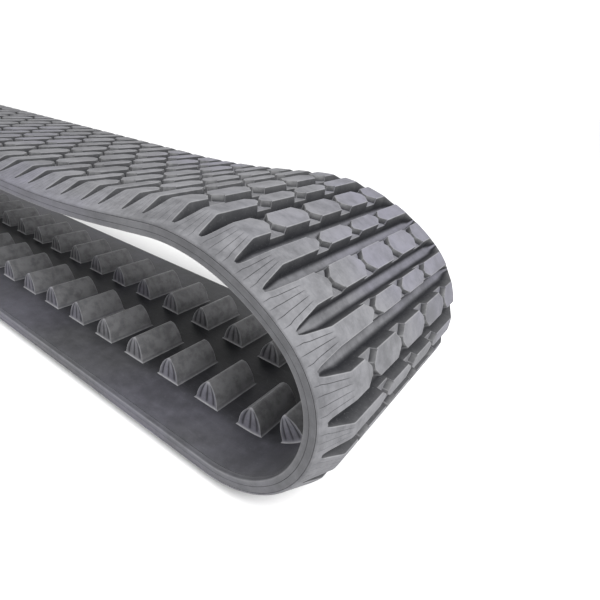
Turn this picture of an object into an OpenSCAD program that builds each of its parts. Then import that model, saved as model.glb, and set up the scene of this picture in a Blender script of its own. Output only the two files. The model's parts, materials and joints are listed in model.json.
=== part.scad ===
// Rubber track for a compact loader: an endless belt with no steel in it, driven from inside
// by two rows of moulded lugs. It stands on its ground run, with the return run above.
// Millimetres. +X runs along the track, +Y across it, +Z up, and the origin is the middle of the
// footprint at ground level.

/* [Belt] */
// Distance between neighbouring drive lugs, measured along the tension cords
pitch = 101.6; // [98:0.1:105]
// Number of drive lugs in one row round the belt
pitch_count = 51; // [49:1:53]
// Width of the belt
belt_w = 457.2; // [440:0.1:480]
// Thickness of the carcass between the wheel side and the foot of the tread
carcass_t = 20; // [18:0.5:24]
// Phase of the first drive lug ahead of the middle of the ground run
phase = 26.7; // [20:0.5:40]

/* [Loop at rest] */
// Radius of the cord line where the belt leaves the ground
heel_r = 170; // [165:1:175]
// Radius of the cord line above the end of the loop
brow_r = 137; // [134:1:142]
// Angle that the tight upper bend turns through
brow_turn = 52; // [50:0.5:54]
// Radius of the cord line over the crown of the bend
crest_r = 315; // [305:1:325]
// Slope at which the return run leaves the bend
sag_slope = 6.5; // [5:0.5:8]
// Length of the straight slope
slope_len = 100; // [80:1:120]
// Radius of the cord line where the slope settles to level
settle_r = 2190; // [2000:10:2400]

/* [Tread] */
// Height of the tread bars over the carcass
tread_h = 24; // [20:0.5:28]
// Length along the track of a wide bar's top
wide_bar = 36; // [34:0.5:42]
// Length along the track of a narrow bar's top
narrow_bar = 24; // [20:0.5:26]
// Distance from the middle of the belt to the ridge where the shoulder starts to fall
ridge_y = 180; // [170:1:190]
// Height of the shoulder left at the belt's edge
edge_h = 3; // [2:0.5:5]
// Depth of the edge band where neighbouring shoulders meet
edge_band = 12; // [8:1:16]
// Depth of the notches cut in a bar's top
notch_depth = 10; // [6:0.5:14]
// Distance between neighbouring notches along a bar
notch_gap = 87; // [80:1:92]
// Width of a notch at its neck
notch_w = 6; // [4:0.5:12]
// Length across the belt of the cut corners of a block, beside a notch
corner_cut = 12; // [8:0.5:13]
// How far a cut corner reaches in from a bar's side, in half lengths of the bar
corner_reach = 0.8; // [0.5:0.05:0.85]
// Radius of the rounded tip at each end of a groove
tip_r = 4; // [3:0.5:6]

/* [Drive lugs] */
// Height of a drive lug over the wheel side
lug_h = 44; // [38:1:48]
// Length along the track of a drive lug at its foot
lug_base = 50; // [44:1:52]
// Length along the track of a drive lug's flat crest
lug_crest = 6; // [4:0.5:10]
// Distance from the middle of the belt to the near end of a drive lug
lug_in_y = 37; // [34:0.5:42]
// Distance from the middle of the belt to the far end of a drive lug
lug_out_y = 137; // [130:0.5:142]
// How far each end of a lug leans in over its height
lug_lean = 4; // [2:0.5:8]

/* [Cord ply] */
// Number of cord ribbons wound side by side
ribbon_count = 12; // [10:1:16]
// Thickness of a cord ribbon
ribbon_t = 4; // [3:0.5:5]
// Gap between neighbouring cord ribbons
ribbon_gap = 0.4; // [0.2:0.1:1]
// Rubber left between the outer ribbon and the belt's edge
ribbon_edge = 8; // [4:0.5:12]

/* [Flexing] */
// Clearance between two neighbouring stretches of carcass at the cord line
flex_gap = 0.15; // [0.1:0.05:0.3]
// Largest angle that one flexure bends through
flex_max = 13; // [10:0.5:14]

/* [Hidden] */
bar_pitch = pitch / 2;
bar_count = 2 * pitch_count;
loop_len = pitch * pitch_count;
groove_w = bar_pitch - (wide_bar + narrow_bar) / 2;
wheel_side = carcass_t / 2;
tread_foot = -carcass_t / 2;
crown = tread_foot - tread_h;
cord_height = -crown;
// How far a cutting shape reaches past the face it cuts, and a trimming shape past its solid.
cut = 1;
spare = 6;

// Each stretch of belt between two flexures: its name, its first bar and its number of bars.
ground_first = -20;
ground_bars = 40;
bend_bars = 3;
end_bends = 4;
run_bars = (bar_count - ground_bars) / 2 - end_bends * bend_bars;
front_first = ground_first + ground_bars;
top_first = front_first + end_bends * bend_bars;
rear_first = top_first + 2 * run_bars;
SECTIONS = [
    ["ground_run", ground_first, ground_bars],
    for (i = [1:end_bends]) [str("front_bend_", i), front_first + (i - 1) * bend_bars, bend_bars],
    ["return_run_front", top_first, run_bars],
    ["return_run_rear", top_first + run_bars, run_bars],
    for (i = [1:end_bends])
        [str("rear_bend_", end_bends + 1 - i), rear_first + (i - 1) * bend_bars, bend_bars]
];
LAYERS = ["wheel_side_cover", "cord_ply", "ground_side_cover", "tread_bars", "drive_lugs"];

// ---- the cord line: a pose is [x, z, heading], and a stretch is [length, turn in degrees] ----

function arc_len(r, turn) = r * abs(turn) * PI / 180;

function advance(pose, stretch, d) =
    stretch[1] == 0
    ? [pose[0] + d * cos(pose[2]), pose[1] + d * sin(pose[2]), pose[2]]
    : let (
        r = stretch[0] / (stretch[1] * PI / 180),
        h = pose[2] + stretch[1] * d / stretch[0]
    )
    [pose[0] + r * (sin(h) - sin(pose[2])), pose[1] - r * (cos(h) - cos(pose[2])), h];

// Pose at distance s along a list of stretches.
function walk(pose, stretches, s, i = 0) =
    i == len(stretches) - 1 || s <= stretches[i][0]
    ? advance(pose, stretches[i], s)
    : walk(advance(pose, stretches[i], stretches[i][0]), stretches, s - stretches[i][0], i + 1);

BEND = [
    [arc_len(heel_r, 90), 90],
    [arc_len(brow_r, brow_turn), brow_turn],
    [arc_len(crest_r, 90 + sag_slope - brow_turn), 90 + sag_slope - brow_turn],
    [slope_len, 0],
    [arc_len(settle_r, sag_slope), -sag_slope]
];
bend_len = BEND[0][0] + BEND[1][0] + BEND[2][0] + BEND[3][0] + BEND[4][0];
bend_x = walk([0, 0, 0], BEND, bend_len)[0];
// Half the ground run, from the belt's length and the level half of the return run.
ground_half = (loop_len / 2 - bend_len - bend_x) / 2;
HALF_LOOP = concat([[ground_half, 0]], BEND, [[ground_half + bend_x, 0]]);

function wrapped(s) = s - loop_len * floor(s / loop_len);

// Pose at distance s from the middle of the ground run; the rear half mirrors the front.
function at(s) =
    let (u = wrapped(s))
    u <= loop_len / 2
    ? walk([0, cord_height, 0], HALF_LOOP, u)
    : let (p = walk([0, cord_height, 0], HALF_LOOP, loop_len - u)) [-p[0], p[1], -p[2]];

// Point at distance s, offset towards the inside of the loop.
function point(s, off) =
    let (p = at(s)) [p[0] - off * sin(p[2]), p[1] + off * cos(p[2])];

// Whether the belt turns between the marks on either side of b.
straight = 0.001;
function turn_between(a, b) =
    let (d = at(b)[2] - at(a)[2]) abs(d - 360 * round(d / 360));
function bends(a, b, c) = turn_between(a, b) > straight || turn_between(b, c) > straight;

// ---- bars and the marks at which the belt's outline turns ----

function bar_s(j) = phase + j * bar_pitch;
function is_wide(j) = j % 2 == 0;
function half_land(j) = (is_wide(j) ? wide_bar : narrow_bar) / 2;
function half_bay(j) = half_land(j) + groove_w / 2;

// Marks of one bar, from the middle of the groove before it, without the end of its bay.
function bar_marks(j) = concat(
    [bar_s(j) - half_bay(j)],
    [for (i = [-1:1]) bar_s(j) + i * half_land(j)]
);
function marks(first, count) = concat(
    [for (j = [first:first + count - 1]) each bar_marks(j)],
    [bar_s(first + count - 1) + half_bay(first + count - 1)]
);

// How far a stretch's end stands back from the flexure at an offset from the cord line.
function relief(off) = flex_gap + abs(off) * tan(flex_max / 2);

// One edge of a stretch: straight parts keep only their two ends.
function edge(m, off) = concat(
    [point(m[0] + relief(off), off)],
    [for (i = [1:len(m) - 2]) if (bends(m[i - 1], m[i], m[i + 1])) point(m[i], off)],
    [point(m[len(m) - 1] - relief(off), off)]
);
function reversed(v) = [for (i = [len(v) - 1:-1:0]) v[i]];
function layer_outline(m, low, high) = concat(edge(m, low), reversed(edge(m, high)));

// An outline in the XZ plane, extruded across the belt.
module across(w, y = 0) {
    translate([0, y, 0])
        rotate([90, 0, 0])
            linear_extrude(height = w, center = true)
                children();
}

// Local frame at distance s: X along the belt, Y across, Z towards the inside of the loop.
module station(s) {
    p = at(s);
    translate([p[0], 0, p[1]])
        rotate([0, -p[2], 0])
            children();
}

module carcass_layer(section, low, high, w = belt_w, y = 0) {
    across(w, y)
        polygon(layer_outline(marks(section[1], section[2]), low, high));
}

// ---- carcass ----

module wheel_side_cover(section) {
    color("#3a3b3f")
        carcass_layer(section, ribbon_t / 2, wheel_side);
}

// Ribbons of parallel cords skimmed in rubber, which carry the belt's pull.
module cord_ply(section) {
    step = (belt_w - 2 * ribbon_edge) / ribbon_count;
    color("#77736a")
        for (i = [0:ribbon_count - 1])
            carcass_layer(
                section, -ribbon_t / 2, ribbon_t / 2,
                step - ribbon_gap, (i - (ribbon_count - 1) / 2) * step
            );
}

// The ground-side cover also closes the two edges of the belt, beside the cord ply.
module ground_side_cover(section) {
    lap = 0.25;
    color("#55565a") {
        carcass_layer(section, tread_foot, -ribbon_t / 2);
        for (side = [-1, 1])
            carcass_layer(
                section, -ribbon_t / 2 - lap, ribbon_t / 2,
                ribbon_edge, side * (belt_w - ribbon_edge) / 2
            );
    }
}

// ---- tread ----

// Plan of a bar: straight over the crown, flared over the shoulders until the edge bands meet.
module bar_plan(j) {
    a = half_land(j);
    b = half_bay(j);
    tip = belt_w / 2 - edge_band;
    half = [
        [a, 0], [a, ridge_y], [b - tip_r, tip - 1.5 * tip_r], [b - tip_r / 4, tip],
        [b + spare, tip + tip_r / 2], [b + spare, belt_w / 2]
    ];
    outline = concat([[-a, 0]], half, reversed([for (q = half) [-q[0], q[1]]]));
    for (side = [-1, 1])
        polygon([for (p = outline) [p[0], side * p[1]]]);
}

// Section of the tread across the belt, under the crown and both shoulders.
module shoulder_section() {
    polygon([
        [-belt_w / 2, 0], [-belt_w / 2, tread_foot - edge_h], [-ridge_y, crown],
        [ridge_y, crown], [belt_w / 2, tread_foot - edge_h], [belt_w / 2, 0]
    ]);
}

// A notch's plan: a neck across the bar that opens towards both of its sides.
module notch_plan(a) {
    n = notch_w / 2;
    e = a + cut;
    inner = (1 - corner_reach) * a;
    opening = n + corner_cut * (e - inner) / (a - inner);
    side = [[e, -opening], [inner, -n], [-inner, -n], [-e, -opening]];
    polygon(concat(side, reversed([for (p = side) [p[0], -p[1]]])));
}

module bar(j) {
    notches = is_wide(j) ? 4 : 3;
    difference() {
        intersection() {
            across(belt_w)
                polygon(layer_outline(marks(j, 1), crown, tread_foot));
            station(bar_s(j))
                translate([0, 0, crown - cut])
                    linear_extrude(height = tread_h + 2 * spare)
                        bar_plan(j);
            station(bar_s(j))
                rotate([90, 0, 90])
                    linear_extrude(height = 2 * bar_pitch, center = true)
                        shoulder_section();
        }
        station(bar_s(j))
            for (i = [0:notches - 1])
                translate([0, (i - (notches - 1) / 2) * notch_gap, crown - cut])
                    linear_extrude(height = notch_depth + cut)
                        notch_plan(half_land(j));
    }
}

module tread_bars(section) {
    color("#8b8c90")
        for (j = [section[1]:section[1] + section[2] - 1])
            bar(j);
}

// ---- drive lugs ----

// Arch of a lug along the track: two arcs that start upright at the foot and meet at the crest.
flank_run = (lug_base - lug_crest) / 2;
flank_r = (pow(flank_run, 2) + pow(lug_h, 2)) / (2 * flank_run);
flank_turn = asin(lug_h / flank_r);
flank_steps = 6;
flank = [for (i = [0:flank_steps]) let (t = flank_turn * i / flank_steps)
    [flank_r * cos(t) - flank_r + lug_base / 2, flank_r * sin(t)]];

module lug_arch() {
    polygon(concat(
        [[-lug_base / 2, -spare], [lug_base / 2, -spare]],
        flank,
        reversed([for (p = flank) [-p[0], p[1]]])
    ));
}

// Section of a lug across the belt, with both ends leaning in.
module lug_ends() {
    lean_low = lug_lean * spare / lug_h;
    polygon([
        [lug_in_y - lean_low, -spare], [lug_out_y + lean_low, -spare],
        [lug_out_y - lug_lean, lug_h], [lug_in_y + lug_lean, lug_h]
    ]);
}

// The space over the wheel side in which a lug stands.
module lug_space(j) {
    m = marks(j, 1);
    last = len(m) - 1;
    p = at(bar_s(j));
    z = wheel_side + lug_h + spare;
    floor_line = [for (i = [0:last])
        if (i == 0 || i == last || bends(m[i - 1], m[i], m[i + 1])) point(m[i], wheel_side)];
    roof = [for (x = [1, -1] * (lug_base / 2 + spare))
        [p[0] + x * cos(p[2]) - z * sin(p[2]), p[1] + x * sin(p[2]) + z * cos(p[2])]];
    across(belt_w)
        polygon(concat(floor_line, roof));
}

module lug(j, side) {
    intersection() {
        lug_space(j);
        station(bar_s(j))
            translate([0, side * (lug_in_y + lug_out_y) / 2, wheel_side])
                rotate([90, 0, 0])
                    linear_extrude(height = lug_out_y - lug_in_y + 2 * lug_lean, center = true)
                        lug_arch();
        station(bar_s(j))
            translate([0, 0, wheel_side])
                rotate([90, 0, 90])
                    linear_extrude(height = 2 * lug_base, center = true)
                        scale([side, 1])
                            lug_ends();
    }
}

module drive_lugs(section) {
    color("#2f3034")
        for (j = [section[1]:section[1] + section[2] - 1])
            if (is_wide(j))
                for (side = [-1, 1])
                    lug(j, side);
}

for (s = SECTIONS) {
    wheel_side_cover(s);
    cord_ply(s);
    ground_side_cover(s);
    tread_bars(s);
    drive_lugs(s);
}
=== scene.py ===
# %% [markdown]
# A rubber track for a compact loader is one endless belt. It is moulded flat, in lengths of a
# few pitches, and then closed into a loop. So this lesson models it the same way: one bay of
# tread, one bay of carcass and one pair of drive lugs are drawn flat, and Geometry Nodes lays
# the bays end to end and bends them along the cord line, the layer that never stretches.
# The frame comes first. It holds the CAD parts, their bodies and the joints between them. What
# a new Blender file starts with is removed before that, so that only the belt is measured.

# %% Load the frame
import json
import math

import bmesh
import bpy
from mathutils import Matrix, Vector

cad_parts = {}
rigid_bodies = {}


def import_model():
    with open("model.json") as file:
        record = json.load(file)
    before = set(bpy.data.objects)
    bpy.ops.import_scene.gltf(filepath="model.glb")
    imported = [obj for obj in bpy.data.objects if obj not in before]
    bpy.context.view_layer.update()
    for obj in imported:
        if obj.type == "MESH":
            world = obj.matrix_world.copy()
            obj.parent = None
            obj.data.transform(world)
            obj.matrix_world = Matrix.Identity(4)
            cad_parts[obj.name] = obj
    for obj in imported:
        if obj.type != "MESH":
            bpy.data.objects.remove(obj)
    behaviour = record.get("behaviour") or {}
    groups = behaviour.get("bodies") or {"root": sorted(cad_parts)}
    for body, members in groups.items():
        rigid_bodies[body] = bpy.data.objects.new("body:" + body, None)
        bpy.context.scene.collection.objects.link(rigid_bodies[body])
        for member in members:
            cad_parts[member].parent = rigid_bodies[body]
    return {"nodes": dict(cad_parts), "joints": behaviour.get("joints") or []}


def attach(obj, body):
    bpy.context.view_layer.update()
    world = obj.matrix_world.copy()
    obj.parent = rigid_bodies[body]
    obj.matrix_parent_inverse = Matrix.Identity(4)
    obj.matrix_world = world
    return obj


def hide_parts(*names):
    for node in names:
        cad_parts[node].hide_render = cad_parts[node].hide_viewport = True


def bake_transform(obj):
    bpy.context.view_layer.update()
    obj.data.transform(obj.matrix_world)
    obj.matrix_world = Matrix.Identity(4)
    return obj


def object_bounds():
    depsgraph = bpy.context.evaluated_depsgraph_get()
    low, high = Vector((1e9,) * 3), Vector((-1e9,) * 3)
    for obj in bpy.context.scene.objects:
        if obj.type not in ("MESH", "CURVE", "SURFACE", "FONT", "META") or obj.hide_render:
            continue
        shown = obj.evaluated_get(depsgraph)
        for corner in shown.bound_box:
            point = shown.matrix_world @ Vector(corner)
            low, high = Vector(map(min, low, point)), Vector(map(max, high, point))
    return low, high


for starter in list(bpy.data.objects):
    bpy.data.objects.remove(starter)
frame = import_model()
cad_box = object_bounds()
print("CAD box:", [[round(v, 4) for v in corner] for corner in cad_box])

# %% [markdown]
# The camera stands low in front of the loop's bend and looks along the belt, a little down,
# with a wide lens. It comes early so that every later step can be looked at from there.

# %% Camera
camera = bpy.data.objects.new("camera", bpy.data.cameras.new("camera"))
bpy.context.scene.collection.objects.link(camera)
camera.location = (1.3809, -0.5578, 0.5681)
camera.rotation_euler = [math.radians(angle) for angle in (62.960, -5.788, 35.555)]
camera.data.lens = 26.01
camera.data.sensor_width = 36
camera.data.clip_start = 0.02
bpy.context.scene.camera = camera
bpy.context.scene.view_settings.view_transform = "Standard"
print("camera at", tuple(camera.location), "lens", camera.data.lens, "mm")

# %% [markdown]
# These are the belt's driving sizes in millimetres, the unit that a mould maker works in. The
# meshes are made in metres, so every mesh is scaled by MM once, where it is made.

# %% Sizes of the belt
MM = 0.001
PITCH = 101.6
PITCH_COUNT = 51
LOOP = PITCH * PITCH_COUNT
BAR_PITCH = PITCH / 2
PHASE = 26.7
WIDTH = (cad_box[1][1] - cad_box[0][1]) / MM
HALF_WIDTH = WIDTH / 2
HALF_CARCASS = 10.0
TREAD_HEIGHT = 24.0
CORD_HEIGHT = HALF_CARCASS + TREAD_HEIGHT
WIDE_LAND = 18.0
NARROW_LAND = 12.0
HALF_GROOVE = (BAR_PITCH - WIDE_LAND - NARROW_LAND) / 2
print("loop", round(LOOP, 1), "mm, width", round(WIDTH, 1), "mm, half groove", HALF_GROOVE, "mm")

# %% [markdown]
# The cord line is the path of the cords in the carcass. On the ground it is straight. At each
# end it turns through three arcs, and on top it settles from a slight slope to level. The rear
# half mirrors the front half. Each stretch is a length and an angle, so the position at any
# distance along the belt is a short walk through the list.

# %% The cord line
HEEL_RADIUS, HEEL_TURN = 170, 90
BROW_RADIUS, BROW_TURN = 137, 52
CREST_RADIUS = 315
SAG_SLOPE = 6.5
SLOPE_LENGTH = 100
SETTLE_RADIUS = 2190


def arc(radius, degrees):
    turn = math.radians(degrees)
    return (radius * abs(turn), turn)


def advance(pose, stretch, distance):
    x, z, heading = pose
    length, turn = stretch
    if turn == 0:
        return (x + distance * math.cos(heading), z + distance * math.sin(heading), heading)
    radius = length / turn
    after = heading + distance / radius
    return (
        x + radius * (math.sin(after) - math.sin(heading)),
        z - radius * (math.cos(after) - math.cos(heading)),
        after,
    )


def walk(pose, stretches, distance):
    for stretch in stretches[:-1]:
        if distance <= stretch[0]:
            return advance(pose, stretch, distance)
        pose = advance(pose, stretch, stretch[0])
        distance -= stretch[0]
    return advance(pose, stretches[-1], distance)


BEND = [
    arc(HEEL_RADIUS, HEEL_TURN),
    arc(BROW_RADIUS, BROW_TURN),
    arc(CREST_RADIUS, HEEL_TURN + SAG_SLOPE - BROW_TURN),
    (SLOPE_LENGTH, 0),
    arc(SETTLE_RADIUS, -SAG_SLOPE),
]
bend_length = sum(length for length, turn in BEND)
bend_x = walk((0, 0, 0), BEND, bend_length)[0]
ground_half = (LOOP / 2 - bend_length - bend_x) / 2
HALF_LOOP = [(ground_half, 0)] + BEND + [(ground_half + bend_x, 0)]


def cord_pose(s):
    s %= LOOP
    if s <= LOOP / 2:
        return walk((0, CORD_HEIGHT, 0), HALF_LOOP, s)
    x, z, heading = walk((0, CORD_HEIGHT, 0), HALF_LOOP, LOOP - s)
    return (-x, z, -heading)


def cord_line(step=4.0):
    count = round(LOOP / step)
    data = bpy.data.curves.new("cord_line", "CURVE")
    data.dimensions = "3D"
    spline = data.splines.new("POLY")
    spline.points.add(count - 1)
    for i, point in enumerate(spline.points):
        x, z, _ = cord_pose(LOOP * i / count)
        point.co = (x * MM, 0, z * MM, 1)
    spline.use_cyclic_u = True
    curve = bpy.data.objects.new("cord_line", data)
    bpy.context.scene.collection.objects.link(curve)
    return curve


cord = cord_line()
print("cord line:", len(cord.data.splines[0].points), "points, return run at",
      round(cord_pose(LOOP / 2)[1], 1), "mm")

# %% [markdown]
# Every flat bay is a grid: rows across the belt, and in each row the same number of points
# along the belt. A point carries its place and four marks, which the bending and the
# materials read later: grip (how far the point belongs to a stiff block), a mark for dust and
# painted shade (high on a bar's top and on a groove's floor, low on a bar's walls so that the
# walls are painted dark as shade), edge (a worn edge that is also a painted highlight) and line
# (the bottom of a fine line). The next helper turns such points and faces into an object.

# %% Points, marks and meshes
MARKS = ("grip", "dust_and_shade_mark", "edge", "line")


def flat_object(name, points, faces):
    mesh = bpy.data.meshes.new(name)
    mesh.from_pydata([[c * MM for c in p[:3]] for p in points], [], faces)
    for i, mark in enumerate(MARKS):
        layer = mesh.attributes.new(mark, "FLOAT", "POINT")
        layer.data.foreach_set("value", [p[3 + i] for p in points])
    mesh.update()
    flat = bpy.data.objects.new(name, mesh)
    bpy.context.scene.collection.objects.link(flat)
    print(name, "has", len(points), "points and", len(faces), "faces")
    return flat


def grid_faces(first, rows, columns, closed=False):
    faces = []
    for r in range(rows if closed else rows - 1):
        a = first + r * columns
        b = first + (r + 1) % rows * columns
        faces += [(a + c, a + c + 1, b + c + 1, b + c) for c in range(columns - 1)]
    return faces


# %% [markdown]
# The tread's skyline is flat over the crown and falls over the shoulders. The bars widen down
# the shoulder until they meet in a thin band at the belt's edge, so each groove ends in a
# rounded tip. A profile is a list of (distance from the middle, value) pairs, and between two
# pairs it is straight.

# %% Shoulder profiles
RIDGE = 180.0
EDGE_HEIGHT = 3.0
EDGE_BAND = 12.0
TIP = HALF_WIDTH - EDGE_BAND


def along(profile, y):
    for (y0, v0), (y1, v1) in zip(profile, profile[1:]):
        if y <= y1:
            return v0 + (v1 - v0) * max(0, y - y0) / (y1 - y0)
    return profile[-1][1]


SKYLINE = [
    (RIDGE - 3, TREAD_HEIGHT), (RIDGE, TREAD_HEIGHT - 0.5), (RIDGE + 3, TREAD_HEIGHT - 1.6),
    (HALF_WIDTH - 1.4, EDGE_HEIGHT + 0.5), (HALF_WIDTH - 0.4, EDGE_HEIGHT - 0.2),
    (HALF_WIDTH, EDGE_HEIGHT - 1.2),
]
FLOOR = [(TIP - 18, 0), (TIP - 11, 0.7), (TIP - 6, 2.6), (TIP - 2.6, 5.0), (TIP, 7.4)]
GROOVE = [(RIDGE, HALF_GROOVE), (TIP - 6, 4.2), (TIP - 2.6, 3.0), (TIP, 1.8), (TIP + 1, 1.5)]
LINE_DEPTH = [(RIDGE, 0), (RIDGE + 5, 0.9), (HALF_WIDTH - 6, 0.9), (HALF_WIDTH - 1.4, 0)]
SHOULDER_ROWS = [RIDGE - 3, RIDGE, RIDGE + 3, RIDGE + 9, RIDGE + 18, TIP - 11, TIP - 6, TIP - 2.6,
                 TIP, TIP + 1.4, TIP + 5, HALF_WIDTH - 1.4, HALF_WIDTH - 0.4, HALF_WIDTH]


def groove_floor(y):
    skyline = along(SKYLINE, y)
    return skyline if y > TIP + 1 else min(along(FLOOR, y), skyline)


for y in (0, 190, 205, TIP, HALF_WIDTH):
    print("at", round(y, 1), "mm: top", round(along(SKYLINE, y), 1), "floor",
          round(groove_floor(y), 1))

# %% [markdown]
# A row of the tread bay climbs from the middle of the groove up the bar's wall, crosses the
# top, and goes down the other wall. Where a notch cuts the corners off a block, the row has a
# step down to the notch's floor on both sides. To keep the grid regular, every row has the
# points for the two steps, and rows without them leave them flat on the top.

# %% One row of tread
NOTCH_DEPTH = 10.0
# The next three are marks for dust and painted shade: near 1 is dusted, and the low mark on the
# walls paints them dark as shade.
NOTCH_DUST_AND_SHADE = 0.86
WALL_PAINTED_SHADE = 0.22
GROOVE_DUST_AND_SHADE = 0.8
WORN_RIM = 0.5
FINE_LINE = 0.55
LINE_MARGIN = 1.8
WALL_GRIPS = (0.0, 0.25, 0.5, 0.8, 1.0, 1.0, 1.0)
STEP = (
    # distance out from the step, share of its height, edge mark, whether it is on the wall
    (0.6, 0, 0, False), (0.15, 0.06, 0, True), (-0.15, 0.95, 1, True), (-0.9, 1, 0.3, False),
)


def wall_points(half_bay, half_land, floor, top, skyline):
    """From the middle of the groove to the top of the wall, as (x, z, dust and painted shade mark,
    edge).
    """
    groove = half_bay - half_land
    depth = skyline - floor
    slant = min(1.7, 0.3 * groove)
    share = (top - floor) / depth if depth > 0.5 else 1
    x_top = half_land + slant * (1 - share)
    climb = top - floor
    # This scales the edge mark, a worn edge that is also a painted highlight.
    worn = min(1, depth / 8)
    # Where the groove has run out there is no wall, so the whole row is a top.
    least = 0 if depth > 0.5 else 1
    # The foot and the face of the wall get low dust marks, so the wall is painted dark as shade.
    wall = [
        (half_bay, floor, GROOVE_DUST_AND_SHADE, 0),
        (half_land + 0.72 * groove, floor + 0.01 * climb, GROOVE_DUST_AND_SHADE - 0.02, 0),
        (half_land + slant + 0.2 * groove, floor + min(1.6, 0.1 * climb), 0.34, 0),
        (half_land + slant + 0.03 * groove, floor + min(5, 0.28 * climb), 0.12, 0),
        (x_top + 0.1, top - min(1.3, 0.1 * climb), WALL_PAINTED_SHADE * share, 0.25 * worn),
        (x_top - 0.3, top - min(0.4, 0.03 * climb), share, worn),
        (x_top - 1.3, top, share, 0.35 * worn),
    ]
    return [(x, z, max(least, dust_and_shade_mark), edge) for x, z, dust_and_shade_mark, edge in wall]


def tread_row(bar, y, step=None, level=0, rim=False):
    """One row at y.

    step is how far out the block's top reaches beside a notch. level is 1 where the row lies in
    a notch's neck, and rim is for the worn row at the end of a block, which is painted dark as
    shade like the walls.
    """
    skyline = along(SKYLINE, abs(y))
    land = bar["half_bay"] - min(HALF_GROOVE, along(GROOVE, abs(y)))
    low = skyline - NOTCH_DEPTH
    high = low if level else skyline - (WORN_RIM if rim else 0)
    wall_top = high if step is None else low
    wall = wall_points(bar["half_bay"], land, groove_floor(abs(y)), wall_top, skyline)
    half = [(x, z, g, dust_and_shade_mark, edge) for (x, z, dust_and_shade_mark, edge), g in zip(wall, WALL_GRIPS)]
    x_step = land - 2.0 if step is None else min(step, land - 1.6)
    stepped = abs(high - wall_top) > 1
    rim_edge = 1 if rim else 0
    top_dust_and_shade = NOTCH_DUST_AND_SHADE if level else 1
    # The worn rim row takes the walls' mark, so it is painted dark as shade.
    if rim:
        top_dust_and_shade = WALL_PAINTED_SHADE
    for dx, share, edge, on_wall in STEP:
        dust_and_shade_mark = NOTCH_DUST_AND_SHADE + (top_dust_and_shade - NOTCH_DUST_AND_SHADE) * (share if stepped else 1)
        # The wall of a step into a notch is painted dark as shade.
        dust_and_shade_mark = WALL_PAINTED_SHADE if stepped and on_wall else dust_and_shade_mark
        half.append((x_step + dx, wall_top + (high - wall_top) * share, 1, dust_and_shade_mark,
                     max(rim_edge, edge if stepped else 0)))
    depth = along(LINE_DEPTH, abs(y)) if abs(y) > RIDGE else 0
    spread = max(0.3, x_step - LINE_MARGIN)
    thin = min(FINE_LINE, 0.25 * spread)
    lines = [(spread * u + dx * thin, y, high - depth * share, 1, top_dust_and_shade, rim_edge,
              share * min(1, depth))
             for u in bar["lines"] for dx, share in ((-1, 0), (0, 1), (1, 0))]
    return ([(-x, y, *rest, 0) for x, *rest in half] + lines
            + [(x, y, *rest, 0) for x, *rest in reversed(half)])


WIDE_BAR = {"half_land": WIDE_LAND, "half_bay": WIDE_LAND + HALF_GROOVE,
            "notches": (-130.5, -43.5, 43.5, 130.5), "lines": (-0.78, -0.27, 0.27, 0.78)}
NARROW_BAR = {"half_land": NARROW_LAND, "half_bay": NARROW_LAND + HALF_GROOVE,
              "notches": (-87.0, 0.0, 87.0), "lines": (-0.68, 0, 0.68)}
print("a row of a wide bar has", len(tread_row(WIDE_BAR, 0)), "points")

# %% [markdown]
# A notch is a neck across the bar that opens towards both of its sides, because the corners of
# the two blocks beside it are cut away. Twelve rows describe one notch. The tread bay is closed
# underneath, just inside the carcass, and it stands back a little above the carcass at the
# belt's edge, which leaves the fine crease that a mould's parting leaves.

# %% A bay of tread
NECK = 3.0
CORNER_CUT = 12.0
CORNER_REACH = 0.8
CREASE = 1.0
SKIN = 1.5
RIM = 0.35
# Rows at the end of a block: distance from the neck, and whether the row is the worn rim.
BLOCK_END = ((CORNER_CUT + 1, False), (CORNER_CUT, False), (1.5, False), (RIM, True))
# Rows on the floor of the neck, as distances from its middle.
NECK_FLOOR = (RIM - NECK, 1.2 - NECK, NECK - 1.2, NECK - RIM)


def notch_rows(bar, y0):
    inner = (1 - CORNER_REACH) * bar["half_land"]
    slope = CORNER_REACH * bar["half_land"] / CORNER_CUT

    def block_end(side, offset, rim):
        step = inner + slope * offset if offset <= CORNER_CUT else None
        return tread_row(bar, y0 + side * (NECK + offset), step=step, rim=rim)

    rows = [block_end(-1, offset, rim) for offset, rim in BLOCK_END]
    rows += [tread_row(bar, y0 + y, step=inner, level=1) for y in NECK_FLOOR]
    return rows + [block_end(1, offset, rim) for offset, rim in reversed(BLOCK_END)]


def closing_rows(row, side):
    """Rows that carry the edge row down to the crease and in under the tread."""
    inside = side * (HALF_WIDTH - CREASE)
    return [[(x, y, z, g, dust_and_shade_mark, edge, 0) for x, _, _, g, dust_and_shade_mark, edge, _ in row]
            for y, z, edge, dust_and_shade_mark in ((side * HALF_WIDTH, 0.15, 0, 0.8),
                                     (inside, 0.0, 0, 0.2), (inside, -SKIN, 0, 0.1))]


def tread_rows(bar):
    near = [tread_row(bar, -y) for y in reversed(SHOULDER_ROWS)]
    far = [tread_row(bar, y) for y in SHOULDER_ROWS]
    middle = [row for y0 in bar["notches"] for row in notch_rows(bar, y0)]
    return (list(reversed(closing_rows(near[0], -1))) + near + middle
            + far + closing_rows(far[-1], 1))


def zip_columns(outer, inner, ys_outer, ys_inner):
    """Triangles between two columns whose rows lie at different distances across the belt."""
    faces, i, j = [], 0, 0
    while i < len(outer) - 1 or j < len(inner) - 1:
        step_outer = j == len(inner) - 1 or (
            i < len(outer) - 1 and ys_outer[i + 1] <= ys_inner[j + 1])
        if step_outer:
            faces.append((outer[i], inner[j], outer[i + 1]))
            i += 1
        else:
            faces.append((outer[i], inner[j], inner[j + 1]))
            j += 1
    return faces


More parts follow.
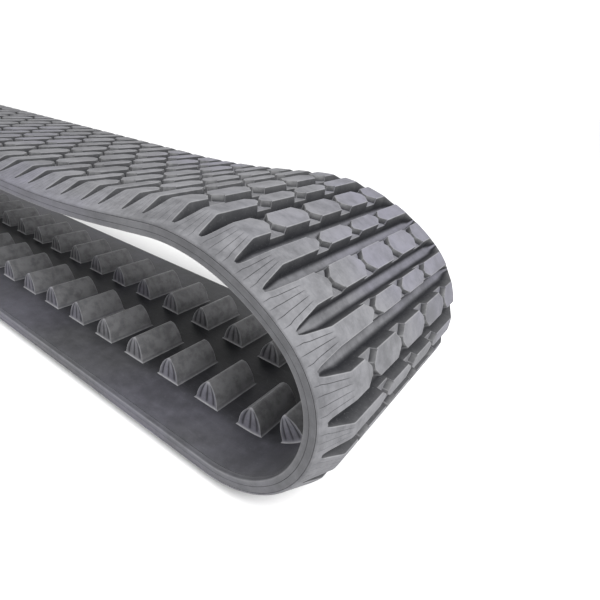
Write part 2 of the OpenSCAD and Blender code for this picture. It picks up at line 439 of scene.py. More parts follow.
def tread_bay(name, bar):
    rows = tread_rows(bar)
    columns = len(rows[0])
    points = [p for row in rows for p in row[1:-1]]
    width = columns - 2
    faces = grid_faces(0, len(rows), width, closed=True)
    # The outermost columns hold the same rows on wide and narrow bars, so that bays join.
    shoulder = len(SHOULDER_ROWS) + 3
    common = rows[:shoulder] + [tread_row(bar, y) for y in range(-150, 151, 60)] + rows[-shoulder:]
    order = list(range(len(rows)))
    crown = range(shoulder, len(rows) - shoulder)

    def place(y):
        """Where a common row falls in the order of this bar's own rows."""
        before = [i for i in crown if rows[i][0][1] < y]
        return shoulder - 1 + len(before) + 0.5

    places = (order[:shoulder] + [place(row[0][1]) for row in common[shoulder:-shoulder]]
              + order[-shoulder:])
    for pick, inner_column in ((0, 0), (-1, width - 1)):
        start = len(points)
        points += [row[pick] for row in common]
        outer = list(range(start, start + len(common)))
        inner = [r * width + inner_column for r in range(len(rows))]
        strip = zip_columns(outer, inner, places, order)
        strip.append((outer[-1], inner[-1], inner[0], outer[0]))
        faces += strip if pick == 0 else [tuple(reversed(f)) for f in strip]
    # Heights count from the carcass towards the ground, so the bay is turned over here.
    turned = [(x, y, -HALF_CARCASS - z, *marks) for x, y, z, *marks in points]
    return flat_object(name, turned, [tuple(reversed(f)) for f in faces])


wide_tread = tread_bay("wide_tread_bay", WIDE_BAR)
narrow_tread = tread_bay("narrow_tread_bay", NARROW_BAR)

# %% [markdown]
# The carcass is the belt's body. Its section is a closed outline across the belt: the smooth
# wheel side with a fine line near each edge, rounded corners, and the two side faces. The
# part under the tread is hidden, so it stays flat.

# %% A bay of carcass
BEAD = 9.0
CARCASS_SIDE = [
    # distance in from the belt's edge, height, edge mark, line mark
    (30, HALF_CARCASS, 0, 0), (BEAD + 1.2, HALF_CARCASS, 0, 0), (BEAD + 0.5, HALF_CARCASS, 0.2, 0),
    (BEAD, HALF_CARCASS - 0.7, 0, 1), (BEAD - 0.5, HALF_CARCASS - 0.15, 0.4, 0),
    (3.2, HALF_CARCASS - 0.3, 0, 0), (1.6, HALF_CARCASS - 0.6, 0.3, 0),
    (0.5, HALF_CARCASS - 1.5, 1, 0), (0, HALF_CARCASS - 3.0, 0.3, 0), (0, 2, 0, 0),
    (0, 1.1, 0.1, 0), (0.5, 0.6, 0, 1), (0, 0.1, 0.1, 0), (0, -HALF_CARCASS + 2.0, 0, 0),
    (0.2, -HALF_CARCASS + 1.1, 0.5, 0), (CREASE, -HALF_CARCASS + 0.7, 0, 1),
    (2 * CREASE, -HALF_CARCASS + 0.7, 0, 0.5),
]
INSIDE_ROWS = (-0.75, -0.5, -0.25, 0, 0.25, 0.5, 0.75)


def carcass_section():
    """The closed outline as (y, height, edge, line), counterclockwise seen against +X."""
    right = [(HALF_WIDTH - inset, h, edge, line) for inset, h, edge, line in CARCASS_SIDE]
    left = [(-y, h, edge, line) for y, h, edge, line in reversed(right)]
    middle = [(t * (HALF_WIDTH - 30), HALF_CARCASS, 0, 0) for t in INSIDE_ROWS]
    return left + middle + right


def carcass_bay(name, bar):
    b = bar["half_bay"]
    section = carcass_section()
    across = [-b, 0.6 - b, -2 * b / 3, -b / 3, 0, b / 3, 2 * b / 3, b - 0.6, b]
    points = [(x, y, h, 0, 0.5, edge, line) for y, h, edge, line in section for x in across]
    return flat_object(name, points, grid_faces(0, len(section), len(across), closed=True))


wide_carcass = carcass_bay("wide_carcass_bay", WIDE_BAR)
narrow_carcass = carcass_bay("narrow_carcass_bay", NARROW_BAR)

# %% [markdown]
# A drive lug is a short ridge across the belt. Its flanks stand almost upright on a flared
# foot and close over a rounded crest, so that a drive roller can press on them. The end faces
# lean in and carry upright flutes. On an end face the grid runs from flank to flank and from
# foot to crest, so its lines close in towards the crest, and the flutes fan out by themselves.

# %% A pair of drive lugs
LUG_MIDDLE = 87.0
LUG_HALF_LENGTH = 50.0
LUG_HEIGHT = 44.0
LUG_LEAN = 4.0
FLANK = [
    # half width along the belt, height, edge mark
    (29.5, -1.5, 0.2), (29.5, 0.15, 0.9), (28.2, 0.75, 1), (26.8, 1.6, 0.5), (25.6, 3.4, 0.1),
    (24.6, 6.5, 0), (23.7, 12, 0), (22.0, 18, 0), (19.5, 24, 0), (16.7, 29, 0.1), (14.0, 33, 0.2),
    (10.9, 36.8, 0.2), (7.6, 40.1, 0.3), (4.8, 42.6, 0.6), (2.4, 43.7, 1), (0.7, 44, 0.8),
]
FLUTES = 3
FLUTE_DEPTH = 1.2
FACE_COLUMNS = 33
LUG_BANDS = [(-0.97, 0.35), (-0.5, 0), (0.5, 0), (0.97, 0.35)]


def flute(u, height):
    """Depth share of the flutes at u, from -1 to 1 across an end face."""
    wave = 0.5 - 0.5 * math.cos(math.pi * FLUTES * (u + 1))
    fade = min(1, max(0, (height - 2) / 5)) * min(1, max(0, (LUG_HEIGHT - height) / 9))
    return wave ** 4 * fade * (1 if abs(u) < 0.96 else 0)


def lug(middle):
    points, faces = [], []
    ends = (-1, 1)

    def end_y(side, height):
        flare = 2.0 * max(0, 1 - max(0, height) / 3.5) ** 2
        lean = LUG_LEAN * max(0, height) / LUG_HEIGHT
        crest = 1.6 * max(0, (height - 40) / 4) ** 2
        return middle + side * (LUG_HALF_LENGTH + flare - lean - crest)

    # Both end faces, each a grid from one flank to the other.
    for side in ends:
        for x, z, edge in FLANK:
            for c in range(FACE_COLUMNS):
                u = 2 * c / (FACE_COLUMNS - 1) - 1
                share = flute(u, z)
                # The outline of an end face gets the edge mark: a worn edge and a painted
                # highlight.
                rim = 1 if abs(u) == 1 else 0.25 if abs(u) > 0.9 else 0
                points.append((u * x, end_y(side, z) - side * FLUTE_DEPTH * share, z + HALF_CARCASS,
                               1, 1, max(edge, rim * min(1, z / 6)), share))
    rows = len(FLANK)
    first = grid_faces(0, rows, FACE_COLUMNS)
    second = grid_faces(rows * FACE_COLUMNS, rows, FACE_COLUMNS)
    faces += first + [tuple(reversed(f)) for f in second]
    # The flanks and the crest join the outlines of the two end faces.
    last = FACE_COLUMNS - 1
    outline = ([r * FACE_COLUMNS + last for r in range(rows)]
               + [(rows - 1) * FACE_COLUMNS + c for c in range(last - 1, 0, -1)]
               + [r * FACE_COLUMNS for r in reversed(range(rows))])
    far_outline = [i + rows * FACE_COLUMNS for i in outline]
    chain = [outline]
    for t, rim in LUG_BANDS:
        start = len(points)
        for near, far in zip(outline, far_outline):
            x, _, z, grip, _, edge, _ = points[near]
            y = middle + (points[far][1] - middle) * t
            dust_and_shade_mark = 0.5 * (z - HALF_CARCASS) / LUG_HEIGHT
            points.append((x, y, z, grip, dust_and_shade_mark, max(edge * 0.6, rim), 0))
        chain.append(list(range(start, start + len(outline))))
    chain.append(far_outline)
    for near, far in zip(chain, chain[1:]):
        faces += [(a, c, d, b) for a, b, c, d in zip(near, near[1:], far, far[1:])]
    # The foot is closed under the wheel side's surface.
    faces.append([band[-1] for band in chain[:-1]]
                 + [rows * FACE_COLUMNS + c for c in range(last)]
                 + [band[0] for band in reversed(chain[1:])]
                 + list(range(last, 0, -1)))
    return points, faces


def lug_pair(name):
    points, faces = [], []
    for middle in (-LUG_MIDDLE, LUG_MIDDLE):
        more, quads = lug(middle)
        faces += [tuple(i + len(points) for i in f) for f in quads]
        points += more
    return flat_object(name, points, faces)


lugs = lug_pair("lug_pair")

# %% [markdown]
# Now the node tree. It puts wide and narrow bays by turns on a line of points, makes them one
# flat strip, and then moves each point to the cord line: the distance along the belt picks a
# place and a direction on the curve, and the height goes off at a right angle. A stiff block
# mustn't stretch where the belt bends, so a point with grip keeps its real distance from its
# bar's middle: the bend's curvature there says by how much a length at that height grows.

# %% Small helpers for node trees
def node(tree, kind, **settings):
    made = tree.nodes.new(kind)
    for key, value in settings.items():
        setattr(made, key, value)
    return made


def feed(tree, socket, value):
    if isinstance(value, bpy.types.NodeSocket):
        tree.links.new(value, socket)
    else:
        socket.default_value = value


def maths(tree, operation, *values):
    made = node(tree, "ShaderNodeMath", operation=operation)
    for socket, value in zip(made.inputs, values):
        feed(tree, socket, value)
    return made.outputs[0]


def vector_maths(tree, operation, *values):
    made = node(tree, "ShaderNodeVectorMath", operation=operation)
    for socket, value in zip(made.inputs, values):
        feed(tree, socket, value)
    return made.outputs["Value" if operation == "DOT_PRODUCT" else "Vector"]


# %% The tree that lays the bays and bends them
BEND_INPUTS = {
    "Wide Bay": "NodeSocketObject", "Narrow Bay": "NodeSocketObject",
    "Cord Line": "NodeSocketObject", "First Bar": "NodeSocketInt", "Bar Count": "NodeSocketInt",
    "Phase": "NodeSocketFloat", "Bar Pitch": "NodeSocketFloat", "Loop Length": "NodeSocketFloat",
    "Half Carcass": "NodeSocketFloat", "Material": "NodeSocketMaterial",
}
CURVATURE_REACH = 10 * MM


def flat_strip(tree, given):
    """Wide and narrow bays by turns along +X, as one mesh that remembers each bay's station."""
    start = maths(tree, "MULTIPLY_ADD", given["First Bar"], given["Bar Pitch"], given["Phase"])
    line = node(tree, "GeometryNodeMeshLine", mode="OFFSET")
    feed(tree, line.inputs["Count"], given["Bar Count"])
    for name, x in (("Start Location", start), ("Offset", given["Bar Pitch"])):
        place = node(tree, "ShaderNodeCombineXYZ")
        feed(tree, place.inputs[0], x)
        feed(tree, line.inputs[name], place.outputs[0])
    number = maths(tree, "ADD", node(tree, "GeometryNodeInputIndex").outputs[0],
                   given["First Bar"])
    odd = maths(tree, "FLOORED_MODULO", number, 2)
    join = node(tree, "GeometryNodeJoinGeometry")
    for name, chosen in (("Narrow Bay", odd), ("Wide Bay", maths(tree, "SUBTRACT", 1, odd))):
        info = node(tree, "GeometryNodeObjectInfo")
        feed(tree, info.inputs["Object"], given[name])
        put = node(tree, "GeometryNodeInstanceOnPoints")
        feed(tree, put.inputs["Points"], line.outputs[0])
        feed(tree, put.inputs["Selection"], maths(tree, "GREATER_THAN", chosen, 0.5))
        feed(tree, put.inputs["Instance"], info.outputs["Geometry"])
        tree.links.new(put.outputs[0], join.inputs[0])
    position = node(tree, "GeometryNodeInputPosition").outputs[0]
    x_only = node(tree, "ShaderNodeSeparateXYZ")
    feed(tree, x_only.inputs[0], position)
    station = node(tree, "GeometryNodeStoreNamedAttribute", data_type="FLOAT", domain="INSTANCE")
    feed(tree, station.inputs["Geometry"], join.outputs[0])
    feed(tree, station.inputs["Name"], "station")
    feed(tree, station.inputs["Value"], x_only.outputs[0])
    real = node(tree, "GeometryNodeRealizeInstances")
    feed(tree, real.inputs[0], station.outputs[0])
    merge = node(tree, "GeometryNodeMergeByDistance")
    feed(tree, merge.inputs["Geometry"], real.outputs[0])
    feed(tree, merge.inputs["Distance"], 0.02 * MM)
    belt = node(tree, "GeometryNodeStoreNamedAttribute", data_type="FLOAT_VECTOR", domain="POINT")
    feed(tree, belt.inputs["Geometry"], merge.outputs[0])
    feed(tree, belt.inputs["Name"], "belt")
    feed(tree, belt.inputs["Value"], position)
    return belt.outputs[0]


def cord_sample(tree, given, curve, distance, output):
    """Place or direction on the cord line at a distance along it."""
    share = maths(tree, "DIVIDE", maths(tree, "FLOORED_MODULO", distance, given["Loop Length"]),
                  given["Loop Length"])
    sample = node(tree, "GeometryNodeSampleCurve", mode="FACTOR")
    feed(tree, sample.inputs["Curves"], curve)
    feed(tree, sample.inputs["Factor"], share)
    return sample.outputs[output]


def named_float(tree, name):
    made = node(tree, "GeometryNodeInputNamedAttribute", data_type="FLOAT")
    made.inputs["Name"].default_value = name
    return made.outputs[0]


def curvature(tree, given, curve, station):
    """Turn per metre at a bar's middle, from the directions a little before and after it."""
    before = cord_sample(tree, given, curve, maths(tree, "SUBTRACT", station, CURVATURE_REACH),
                         "Tangent")
    after = cord_sample(tree, given, curve, maths(tree, "ADD", station, CURVATURE_REACH),
                        "Tangent")
    cross = node(tree, "ShaderNodeSeparateXYZ")
    feed(tree, cross.inputs[0], vector_maths(tree, "CROSS_PRODUCT", before, after))
    return maths(tree, "DIVIDE", cross.outputs[1], -2 * CURVATURE_REACH)


def bent_position(tree, given):
    """Where a point of the flat strip lies on the loop."""
    info = node(tree, "GeometryNodeObjectInfo")
    feed(tree, info.inputs["Object"], given["Cord Line"])
    curve = info.outputs["Geometry"]
    flat = node(tree, "ShaderNodeSeparateXYZ")
    feed(tree, flat.inputs[0], node(tree, "GeometryNodeInputPosition").outputs[0])
    s, y, height = flat.outputs
    station = named_float(tree, "station")
    low = maths(tree, "MULTIPLY", given["Half Carcass"], -1)
    held = maths(tree, "MINIMUM", maths(tree, "MAXIMUM", height, low), given["Half Carcass"])
    lift = maths(tree, "SUBTRACT", held, height)
    growth = maths(tree, "MULTIPLY_ADD", curvature(tree, given, curve, station), lift, 1)
    shrink = maths(tree, "SUBTRACT", 1, maths(tree, "DIVIDE", 1, growth))
    share = maths(tree, "SUBTRACT", 1, maths(tree, "MULTIPLY", shrink, named_float(tree, "grip")))
    from_station = maths(tree, "SUBTRACT", s, station)
    distance = maths(tree, "MULTIPLY_ADD", from_station, share, station)
    place = cord_sample(tree, given, curve, distance, "Position")
    tangent = cord_sample(tree, given, curve, distance, "Tangent")
    inward = vector_maths(tree, "CROSS_PRODUCT", tangent, (0, 1, 0))
    raised = vector_maths(tree, "SCALE", inward)
    feed(tree, raised.node.inputs["Scale"], height)
    across = node(tree, "ShaderNodeCombineXYZ")
    feed(tree, across.inputs[1], y)
    return vector_maths(tree, "ADD", vector_maths(tree, "ADD", place, raised), across.outputs[0])


def bend_tree():
    tree = bpy.data.node_groups.new("bend along the cord line", "GeometryNodeTree")
    for name, kind in BEND_INPUTS.items():
        tree.interface.new_socket(name, in_out="INPUT", socket_type=kind)
    tree.interface.new_socket("Geometry", in_out="OUTPUT", socket_type="NodeSocketGeometry")
    given = node(tree, "NodeGroupInput").outputs
    bend = node(tree, "GeometryNodeSetPosition")
    feed(tree, bend.inputs["Geometry"], flat_strip(tree, given))
    feed(tree, bend.inputs["Position"], bent_position(tree, given))
    finish = node(tree, "GeometryNodeSetMaterial")
    feed(tree, finish.inputs["Geometry"], bend.outputs[0])
    feed(tree, finish.inputs["Material"], given["Material"])
    feed(tree, node(tree, "NodeGroupOutput").inputs[0], finish.outputs[0])
    return tree


BELT_TREE = bend_tree()
print("the bending tree has", len(BELT_TREE.nodes), "nodes")

# %% [markdown]
# One function runs the tree for one stretch of belt and keeps the result as a plain mesh. The
# ends of a stretch of tread or carcass are open, so they are filled, and edges sharper than
# a fillet are marked so that the shading breaks there.

# %% Make one stretch
SHARP = math.radians(38)


def fill_ends(mesh):
    solid = bmesh.new()
    solid.from_mesh(mesh)
    rim = [edge for edge in solid.edges if edge.is_boundary]
    caps = bmesh.ops.holes_fill(solid, edges=rim, sides=0)["faces"]
    bmesh.ops.triangulate(solid, faces=caps)
    open_edges = sum(1 for edge in solid.edges if not edge.is_manifold)
    volume = solid.calc_volume(signed=True)
    solid.to_mesh(mesh)
    solid.free()
    return open_edges, volume


def stretch(name, wide_bay, narrow_bay, first, count, material):
    piece = bpy.data.objects.new(name, bpy.data.meshes.new(name))
    bpy.context.scene.collection.objects.link(piece)
    modifier = piece.modifiers.new("bend", "NODES")
    modifier.node_group = BELT_TREE
    values = {
        "Wide Bay": wide_bay, "Narrow Bay": narrow_bay, "Cord Line": cord, "First Bar": first,
        "Bar Count": count, "Phase": PHASE * MM, "Bar Pitch": BAR_PITCH * MM,
        "Loop Length": LOOP * MM, "Half Carcass": HALF_CARCASS * MM, "Material": material,
    }
    for item in BELT_TREE.interface.items_tree:
        if item.in_out == "INPUT":
            modifier[item.identifier] = values[item.name]
    depsgraph = bpy.context.evaluated_depsgraph_get()
    mesh = bpy.data.meshes.new_from_object(piece.evaluated_get(depsgraph))
    piece.modifiers.clear()
    piece.data = mesh
    mesh.name = name
    open_edges, volume = fill_ends(mesh)
    mesh.shade_smooth()
    mesh.set_sharp_from_angle(angle=SHARP)
    print(f"{name}: {len(mesh.polygons)} faces, {open_edges} open edges, {volume * 1e6:.0f} cm3")
    return piece


# %% [markdown]
# Weathered rubber is never one colour. Wax and dust bloom on it in soft blotches, edges rub
# pale and carry a painted highlight, fine lines hold dirt, and a moulded face has a slight
# grain. More than one material needs each of these, so each effect is a shader node group that
# puts out a mask or a height.

# %% Shader groups
def shader_group(name, inputs, outputs):
    tree = bpy.data.node_groups.new(name, "ShaderNodeTree")
    for label, default in inputs.items():
        tree.interface.new_socket(label, in_out="INPUT",
                                  socket_type="NodeSocketFloat").default_value = default
    for label in outputs:
        tree.interface.new_socket(label, in_out="OUTPUT", socket_type="NodeSocketFloat")
    return tree, node(tree, "NodeGroupInput").outputs, node(tree, "NodeGroupOutput").inputs


def noise(tree, vector, scale, detail, roughness=0.5):
    made = node(tree, "ShaderNodeTexNoise")
    for name, value in (("Vector", vector), ("Scale", scale), ("Detail", detail),
                        ("Roughness", roughness)):
        feed(tree, made.inputs[name], value)
    return made.outputs[0]


def ramp(tree, value, low, high):
    """0 below low and 1 above high, and smooth between them."""
    made = node(tree, "ShaderNodeMapRange", interpolation_type="SMOOTHSTEP")
    feed(tree, made.inputs["Value"], value)
    feed(tree, made.inputs["From Min"], low)
    feed(tree, made.inputs["From Max"], high)
    return made.outputs[0]


def object_coordinates(tree):
    return node(tree, "ShaderNodeTexCoord").outputs["Object"]


def belt_coordinates(tree):
    """Distance along the belt, across it and height, in metres."""
    return node(tree, "ShaderNodeAttribute", attribute_name="belt").outputs["Vector"]


def mark(tree, name):
    return node(tree, "ShaderNodeAttribute", attribute_name=name).outputs["Fac"]


def bloom_group():
    """Soft blotches of wax and dust, large and small, and where they turn violet."""
    tree, given, out = shader_group("bloom", {"Scale": 9.0}, ("Blotch", "Violet", "Streak"))
    place = object_coordinates(tree)
    large = noise(tree, place, given["Scale"], 5, 0.6)
    small = noise(tree, place, maths(tree, "MULTIPLY", given["Scale"], 6), 4, 0.65)
    both = maths(tree, "MULTIPLY_ADD", small, 0.45, maths(tree, "MULTIPLY", large, 0.55))
    feed(tree, out["Blotch"], ramp(tree, both, 0.36, 0.64))
    feed(tree, out["Violet"], ramp(tree, noise(tree, place, 3.1, 3), 0.42, 0.66))
    pulled = vector_maths(tree, "MULTIPLY", belt_coordinates(tree), (26, 150, 150))
    feed(tree, out["Streak"], ramp(tree, noise(tree, pulled, 1, 4, 0.6), 0.5, 0.72))
    return tree


def grain_group():
    """The fine pebble of moulded rubber, and the specks of dust that sit in it."""
    tree, given, out = shader_group("grain", {"Scale": 700.0}, ("Height", "Specks"))
    place = object_coordinates(tree)
    pebble = noise(tree, place, given["Scale"], 3, 0.6)
    dents = noise(tree, place, maths(tree, "MULTIPLY", given["Scale"], 0.12), 3, 0.5)
    feed(tree, out["Height"], maths(tree, "MULTIPLY_ADD", dents, 0.7,
                                    maths(tree, "MULTIPLY", pebble, 0.3)))
    feed(tree, out["Specks"], ramp(tree, noise(tree, place, 420, 2), 0.6, 0.72))
    return tree


def wear_and_highlight_group():
    """Pale worn edges with a painted highlight, broken up so that they are not one even line."""
    tree, given, out = shader_group("wear_and_highlight", {"Breakup": 0.5}, ("RubbedAndHighlit", "Dirt"))
    broken = ramp(tree, noise(tree, object_coordinates(tree), 55, 4, 0.6), 0.32, 0.62)
    keep = maths(tree, "SUBTRACT", 1, given["Breakup"])
    strength = maths(tree, "MULTIPLY_ADD", broken, given["Breakup"], keep)
    feed(tree, out["RubbedAndHighlit"], maths(tree, "MULTIPLY", mark(tree, "edge"), strength))
    feed(tree, out["Dirt"], mark(tree, "line"))
    return tree


BLOOM, GRAIN, WEAR_AND_HIGHLIGHT = bloom_group(), grain_group(), wear_and_highlight_group()
print("shader groups:", [group.name for group in (BLOOM, GRAIN, WEAR_AND_HIGHLIGHT)])

# %% [markdown]
# Each kind of rubber on the track then mixes those masks in its own way. The recipe is shared:
# a dark and a dusted colour, mixed by a mask that the kind works out for itself (dust, and on
# the tread also painted shade on the walls), then blotches, pale edges that are worn and carry a
# painted highlight, dirty lines over it, and a bump from the grain.

# %% The rubber recipe
def group_in(tree, group, **values):
    made = node(tree, "ShaderNodeGroup", node_tree=group)
    for name, value in values.items():
        feed(tree, made.inputs[name], value)
    return made.outputs


def mix_colours(tree, share, first, second):
    made = node(tree, "ShaderNodeMix", data_type="RGBA")
    feed(tree, made.inputs[0], share)
    for socket, colour in ((made.inputs[6], first), (made.inputs[7], second)):
        feed(tree, socket, (*colour, 1) if isinstance(colour, tuple) else colour)
    return made.outputs[2]


def rubber(name, dark, dusted, rubbed_and_highlit, dust_and_shade_mask, bloom_scale=9.0, blotch_share=0.3,
           rough=(0.5, 0.75), grain_depth=0.35, rub_and_highlight_share=0.6, breakup=0.5):
    """The mask function, given (tree, bloom outputs), gives the share of the dusted colour, from 0
    to 1; on the tread it also paints shade.
    """
    material = bpy.data.materials.new(name)
    material.use_nodes = True
    tree = material.node_tree
    shader = tree.nodes["Principled BSDF"]
    bloom = group_in(tree, BLOOM, Scale=bloom_scale)
    grain = group_in(tree, GRAIN)
    wear_and_highlight = group_in(tree, WEAR_AND_HIGHLIGHT, Breakup=breakup)
    # The tread's mask also paints the walls in the dark colour as shade.
    dust = dust_and_shade_mask(tree, bloom)
    uneven = maths(tree, "MULTIPLY_ADD", bloom["Blotch"], blotch_share, 1 - blotch_share)
    dusty = maths(tree, "MULTIPLY", dust, uneven)
    colour = mix_colours(tree, dusty, dark, dusted)
    violet = tuple(c * f for c, f in zip(dusted, (0.96, 0.93, 1.16)))
    tint = maths(tree, "MULTIPLY", bloom["Violet"], maths(tree, "MULTIPLY", dusty, 0.6))
    colour = mix_colours(tree, tint, colour, violet)
    specks = maths(tree, "MULTIPLY", grain["Specks"], 0.12)
    colour = mix_colours(tree, specks, colour, rubbed_and_highlit)
    # Edges turn pale: worn rubber and a painted highlight.
    colour = mix_colours(tree, maths(tree, "MULTIPLY", wear_and_highlight["RubbedAndHighlit"], rub_and_highlight_share), colour, rubbed_and_highlit)
    dirt = maths(tree, "MULTIPLY", wear_and_highlight["Dirt"], 0.8)
    colour = mix_colours(tree, dirt, colour, tuple(c * 0.6 for c in dark))
    tree.links.new(colour, shader.inputs["Base Color"])
    low, high = rough
    feed(tree, shader.inputs["Roughness"], maths(tree, "MULTIPLY_ADD", dusty, high - low, low))
    shader.inputs["Specular IOR Level"].default_value = 0.2
    bump = node(tree, "ShaderNodeBump")
    bump.inputs["Strength"].default_value = grain_depth
    bump.inputs["Distance"].default_value = 0.6 * MM
    feed(tree, bump.inputs["Height"], grain["Height"])
    tree.links.new(bump.outputs[0], shader.inputs["Normal"])
    return material


# %% The five finishes of the track
def tread_dust_and_shade(tree, bloom):
    """Dust lies on the tops and on the floors of the grooves, and the walls are painted dark as
    shade.
    """
    top = ramp(tree, mark(tree, "dust_and_shade_mark"), 0.12, 0.9)
    streaks = maths(tree, "MULTIPLY_ADD", bloom["Streak"], -0.16, 1)
    return maths(tree, "MULTIPLY", top, streaks)


def carcass_dust(tree, bloom):
    """The wheel side is dusty beside the lugs and dark in the middle; the side faces are pale."""
    place = node(tree, "ShaderNodeSeparateXYZ")
    feed(tree, place.inputs[0], belt_coordinates(tree))
    off_middle = maths(tree, "ABSOLUTE", place.outputs[1])
    outer_path = ramp(tree, off_middle, 0.12, 0.16)
    side_face = ramp(tree, off_middle, 0.2265, 0.2283)
    shade = maths(tree, "MULTIPLY_ADD", outer_path, 0.42, 0.16)
    shade = maths(tree, "MULTIPLY_ADD", side_face, 0.3, shade)
    return maths(tree, "MULTIPLY_ADD", bloom["Streak"], 0.1, shade)


def lug_dust(tree, bloom):
    """The end faces of a lug are dusty, and its flanks are dark with a little dust at the foot."""
    dust_and_shade_mark = mark(tree, "dust_and_shade_mark")
    end_face = ramp(tree, dust_and_shade_mark, 0.6, 0.95)
    low = ramp(tree, dust_and_shade_mark, 0.2, 0.0)
    flank = maths(tree, "MULTIPLY_ADD", low, 0.25, 0.02)
    return maths(tree, "MULTIPLY_ADD", end_face, 0.9, flank)


def cord_dust(tree, bloom):
    """Parallel cords show through the skim of rubber as fine ribs along the belt."""
    place = node(tree, "ShaderNodeSeparateXYZ")
    feed(tree, place.inputs[0], object_coordinates(tree))
    ribs = maths(tree, "SINE", maths(tree, "MULTIPLY", place.outputs[1], 2 * math.pi / (3 * MM)))
    return maths(tree, "MULTIPLY_ADD", ribs, 0.35, 0.5)


DARK = (0.010, 0.0105, 0.012)
tread_rubber = rubber("tread_rubber", (0.014, 0.0145, 0.017), (0.142, 0.142, 0.151),
                      (0.22, 0.22, 0.225), tread_dust_and_shade, bloom_scale=8, blotch_share=0.5)
wheel_side_rubber = rubber("wheel_side_rubber", DARK, (0.118, 0.118, 0.126), (0.18, 0.18, 0.187),
                           carcass_dust, bloom_scale=7, blotch_share=0.45, rough=(0.45, 0.7))
# The lugs' pale outlines are worn edges and a strong painted highlight.
lug_rubber = rubber("drive_lug_rubber", DARK, (0.16, 0.16, 0.168), (0.34, 0.34, 0.35), lug_dust,
                    bloom_scale=14, blotch_share=0.5, rough=(0.4, 0.62), rub_and_highlight_share=0.85,
                    breakup=0.35)
cord_rubber = rubber("cord_ply", (0.05, 0.045, 0.038), (0.30, 0.28, 0.24), (0.40, 0.38, 0.33),
                     cord_dust)
print("materials:", [m.name for m in (tread_rubber, wheel_side_rubber, lug_rubber, cord_rubber)])

# %% [markdown]
# The real belt bends everywhere. In the frame it bends at ten hinges, which lie in grooves
# between bars. So the carcass and the tread are made in ten stretches, one for each hinge. Each
# stretch stays where the cord line puts it and is not tied to the bodies beside its hinge.
# Two neighbouring stretches meet in the middle of a body.

# %% Ten stretches of carcass and tread
STRETCHES = {
    # name: (first bar, number of bars, joint, bodies whose nodes it stands for)
    "front_1": (0, 21, "front_flex_1", ["ground_run"]),
    "front_2": (21, 3, "front_flex_2", ["front_bend_1"]),
    "front_3": (24, 3, "front_flex_3", ["front_bend_2"]),
    "front_4": (27, 3, "front_flex_4", ["front_bend_3"]),
    "front_5": (30, 21, "front_flex_5", ["front_bend_4", "return_run_front"]),
    "rear_5": (51, 21, "rear_flex_5", ["return_run_rear", "rear_bend_4"]),
    "rear_4": (72, 3, "rear_flex_4", ["rear_bend_3"]),
    "rear_3": (75, 3, "rear_flex_3", ["rear_bend_2"]),
    "rear_2": (78, 3, "rear_flex_2", ["rear_bend_1"]),
    "rear_1": (81, 21, "rear_flex_1", ["ground_run"]),
}
joints = {joint["name"]: joint for joint in frame["joints"]}


def hinge_distance(joint):
    """Distance along the cord line at which a hinge lies, found to the nearest millimetre."""
    x, _, z = joint["pos_m"]

    def miss(s):
        px, pz, _ = cord_pose(s)
        return math.hypot(px - x / MM, pz - z / MM)

    return min(range(round(LOOP)), key=miss)


def blend_over_hinge(piece, joint):
    _, _, heading = cord_pose(hinge_distance(joint))
    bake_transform(piece)


for name, (first, count, joint_name, bodies) in STRETCHES.items():
    for layer, bays, material, slot, nodes in (
        ("carcass", (wide_carcass, narrow_carcass), wheel_side_rubber, "wheel_side_rubber",
         ("wheel_side_cover", "ground_side_cover")),
        ("tread", (wide_tread, narrow_tread), tread_rubber, "tread_rubber", ("tread_bars",)),
    ):
        piece = stretch(f"{layer}_{name}", *bays, first, count, material)
        blend_over_hinge(piece, joints[joint_name])
        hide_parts(*[f"{body}_{part}" for body in bodies for part in nodes])

# %% [markdown]
# The drive lugs are stiff, so each body's lugs are one piece that rides on that body. Only
# wide bars have lugs behind them, so the narrow bay is left empty.

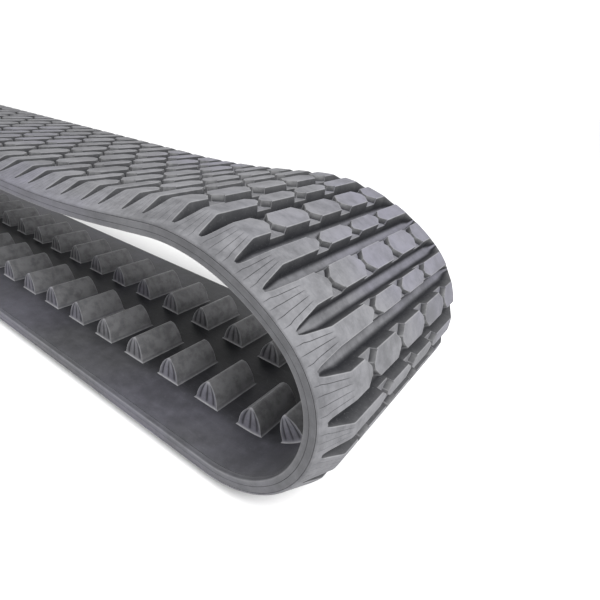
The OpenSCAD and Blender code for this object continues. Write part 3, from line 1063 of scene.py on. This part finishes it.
# %% Drive lugs of each body
LUG_BODIES = {"ground_run": (-20, 40), "return_run_front": (32, 19), "return_run_rear": (51, 19)}
for i in range(4):
    LUG_BODIES[f"front_bend_{i + 1}"] = (20 + 3 * i, 3)
    LUG_BODIES[f"rear_bend_{4 - i}"] = (70 + 3 * i, 3)
for body, (first, count) in LUG_BODIES.items():
    piece = stretch(f"lugs_{body}", lugs, None, first, count, lug_rubber)
    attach(piece, body)
    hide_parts(f"{body}_drive_lugs")

# %% [markdown]
# The cord ply stays as the CAD made it, sealed inside the carcass. It only gets its finish.
# The flat bays and the cord line were helpers, so they go.

# %% Cord ply and clearing up
for name, ply in frame["nodes"].items():
    if name.endswith("_cord_ply"):
        ply.data.materials.clear()
        ply.data.materials.append(cord_rubber)
for helper in (wide_tread, narrow_tread, wide_carcass, narrow_carcass, lugs, cord):
    bpy.data.objects.remove(helper)

# %% [markdown]
# A pale floor and soft light from a wide sky, with a large lamp high in front of the bend, show
# the blocks by their shading: tops are light, and walls that face down are nearly black.

# %% Floor and light
floor_mesh = bpy.data.meshes.new("floor")
SPREAD = 60.0
floor_mesh.from_pydata([(-SPREAD, -SPREAD, 0), (SPREAD, -SPREAD, 0), (SPREAD, SPREAD, 0),
                        (-SPREAD, SPREAD, 0)], [], [(0, 1, 2, 3)])
floor = bpy.data.objects.new("floor", floor_mesh)
floor.location.z = -0.0005
bpy.context.scene.collection.objects.link(floor)
pale = bpy.data.materials.new("pale_floor")
pale.use_nodes = True
pale.node_tree.nodes["Principled BSDF"].inputs["Base Color"].default_value = (0.8, 0.8, 0.8, 1)
pale.node_tree.nodes["Principled BSDF"].inputs["Roughness"].default_value = 0.9
floor_mesh.materials.append(pale)

world = bpy.data.worlds.new("studio")
world.use_nodes = True
world.node_tree.nodes["Background"].inputs["Color"].default_value = (1, 1, 1, 1)
world.node_tree.nodes["Background"].inputs["Strength"].default_value = 1.25
bpy.context.scene.world = world


def lamp(name, place, target, size, power):
    data = bpy.data.lights.new(name, "AREA")
    data.shape = "DISK"
    data.size = size
    data.energy = power
    made = bpy.data.objects.new(name, data)
    made.location = place
    made.rotation_euler = (Vector(target) - Vector(place)).to_track_quat("-Z", "Y").to_euler()
    bpy.context.scene.collection.objects.link(made)
    return made


lamp("key", (2.9, -0.7, 2.5), (1.0, 0, 0.3), 1.8, 120)
lamp("fill", (0.2, -1.6, 3.2), (0.4, 0, 0.2), 2.6, 25)
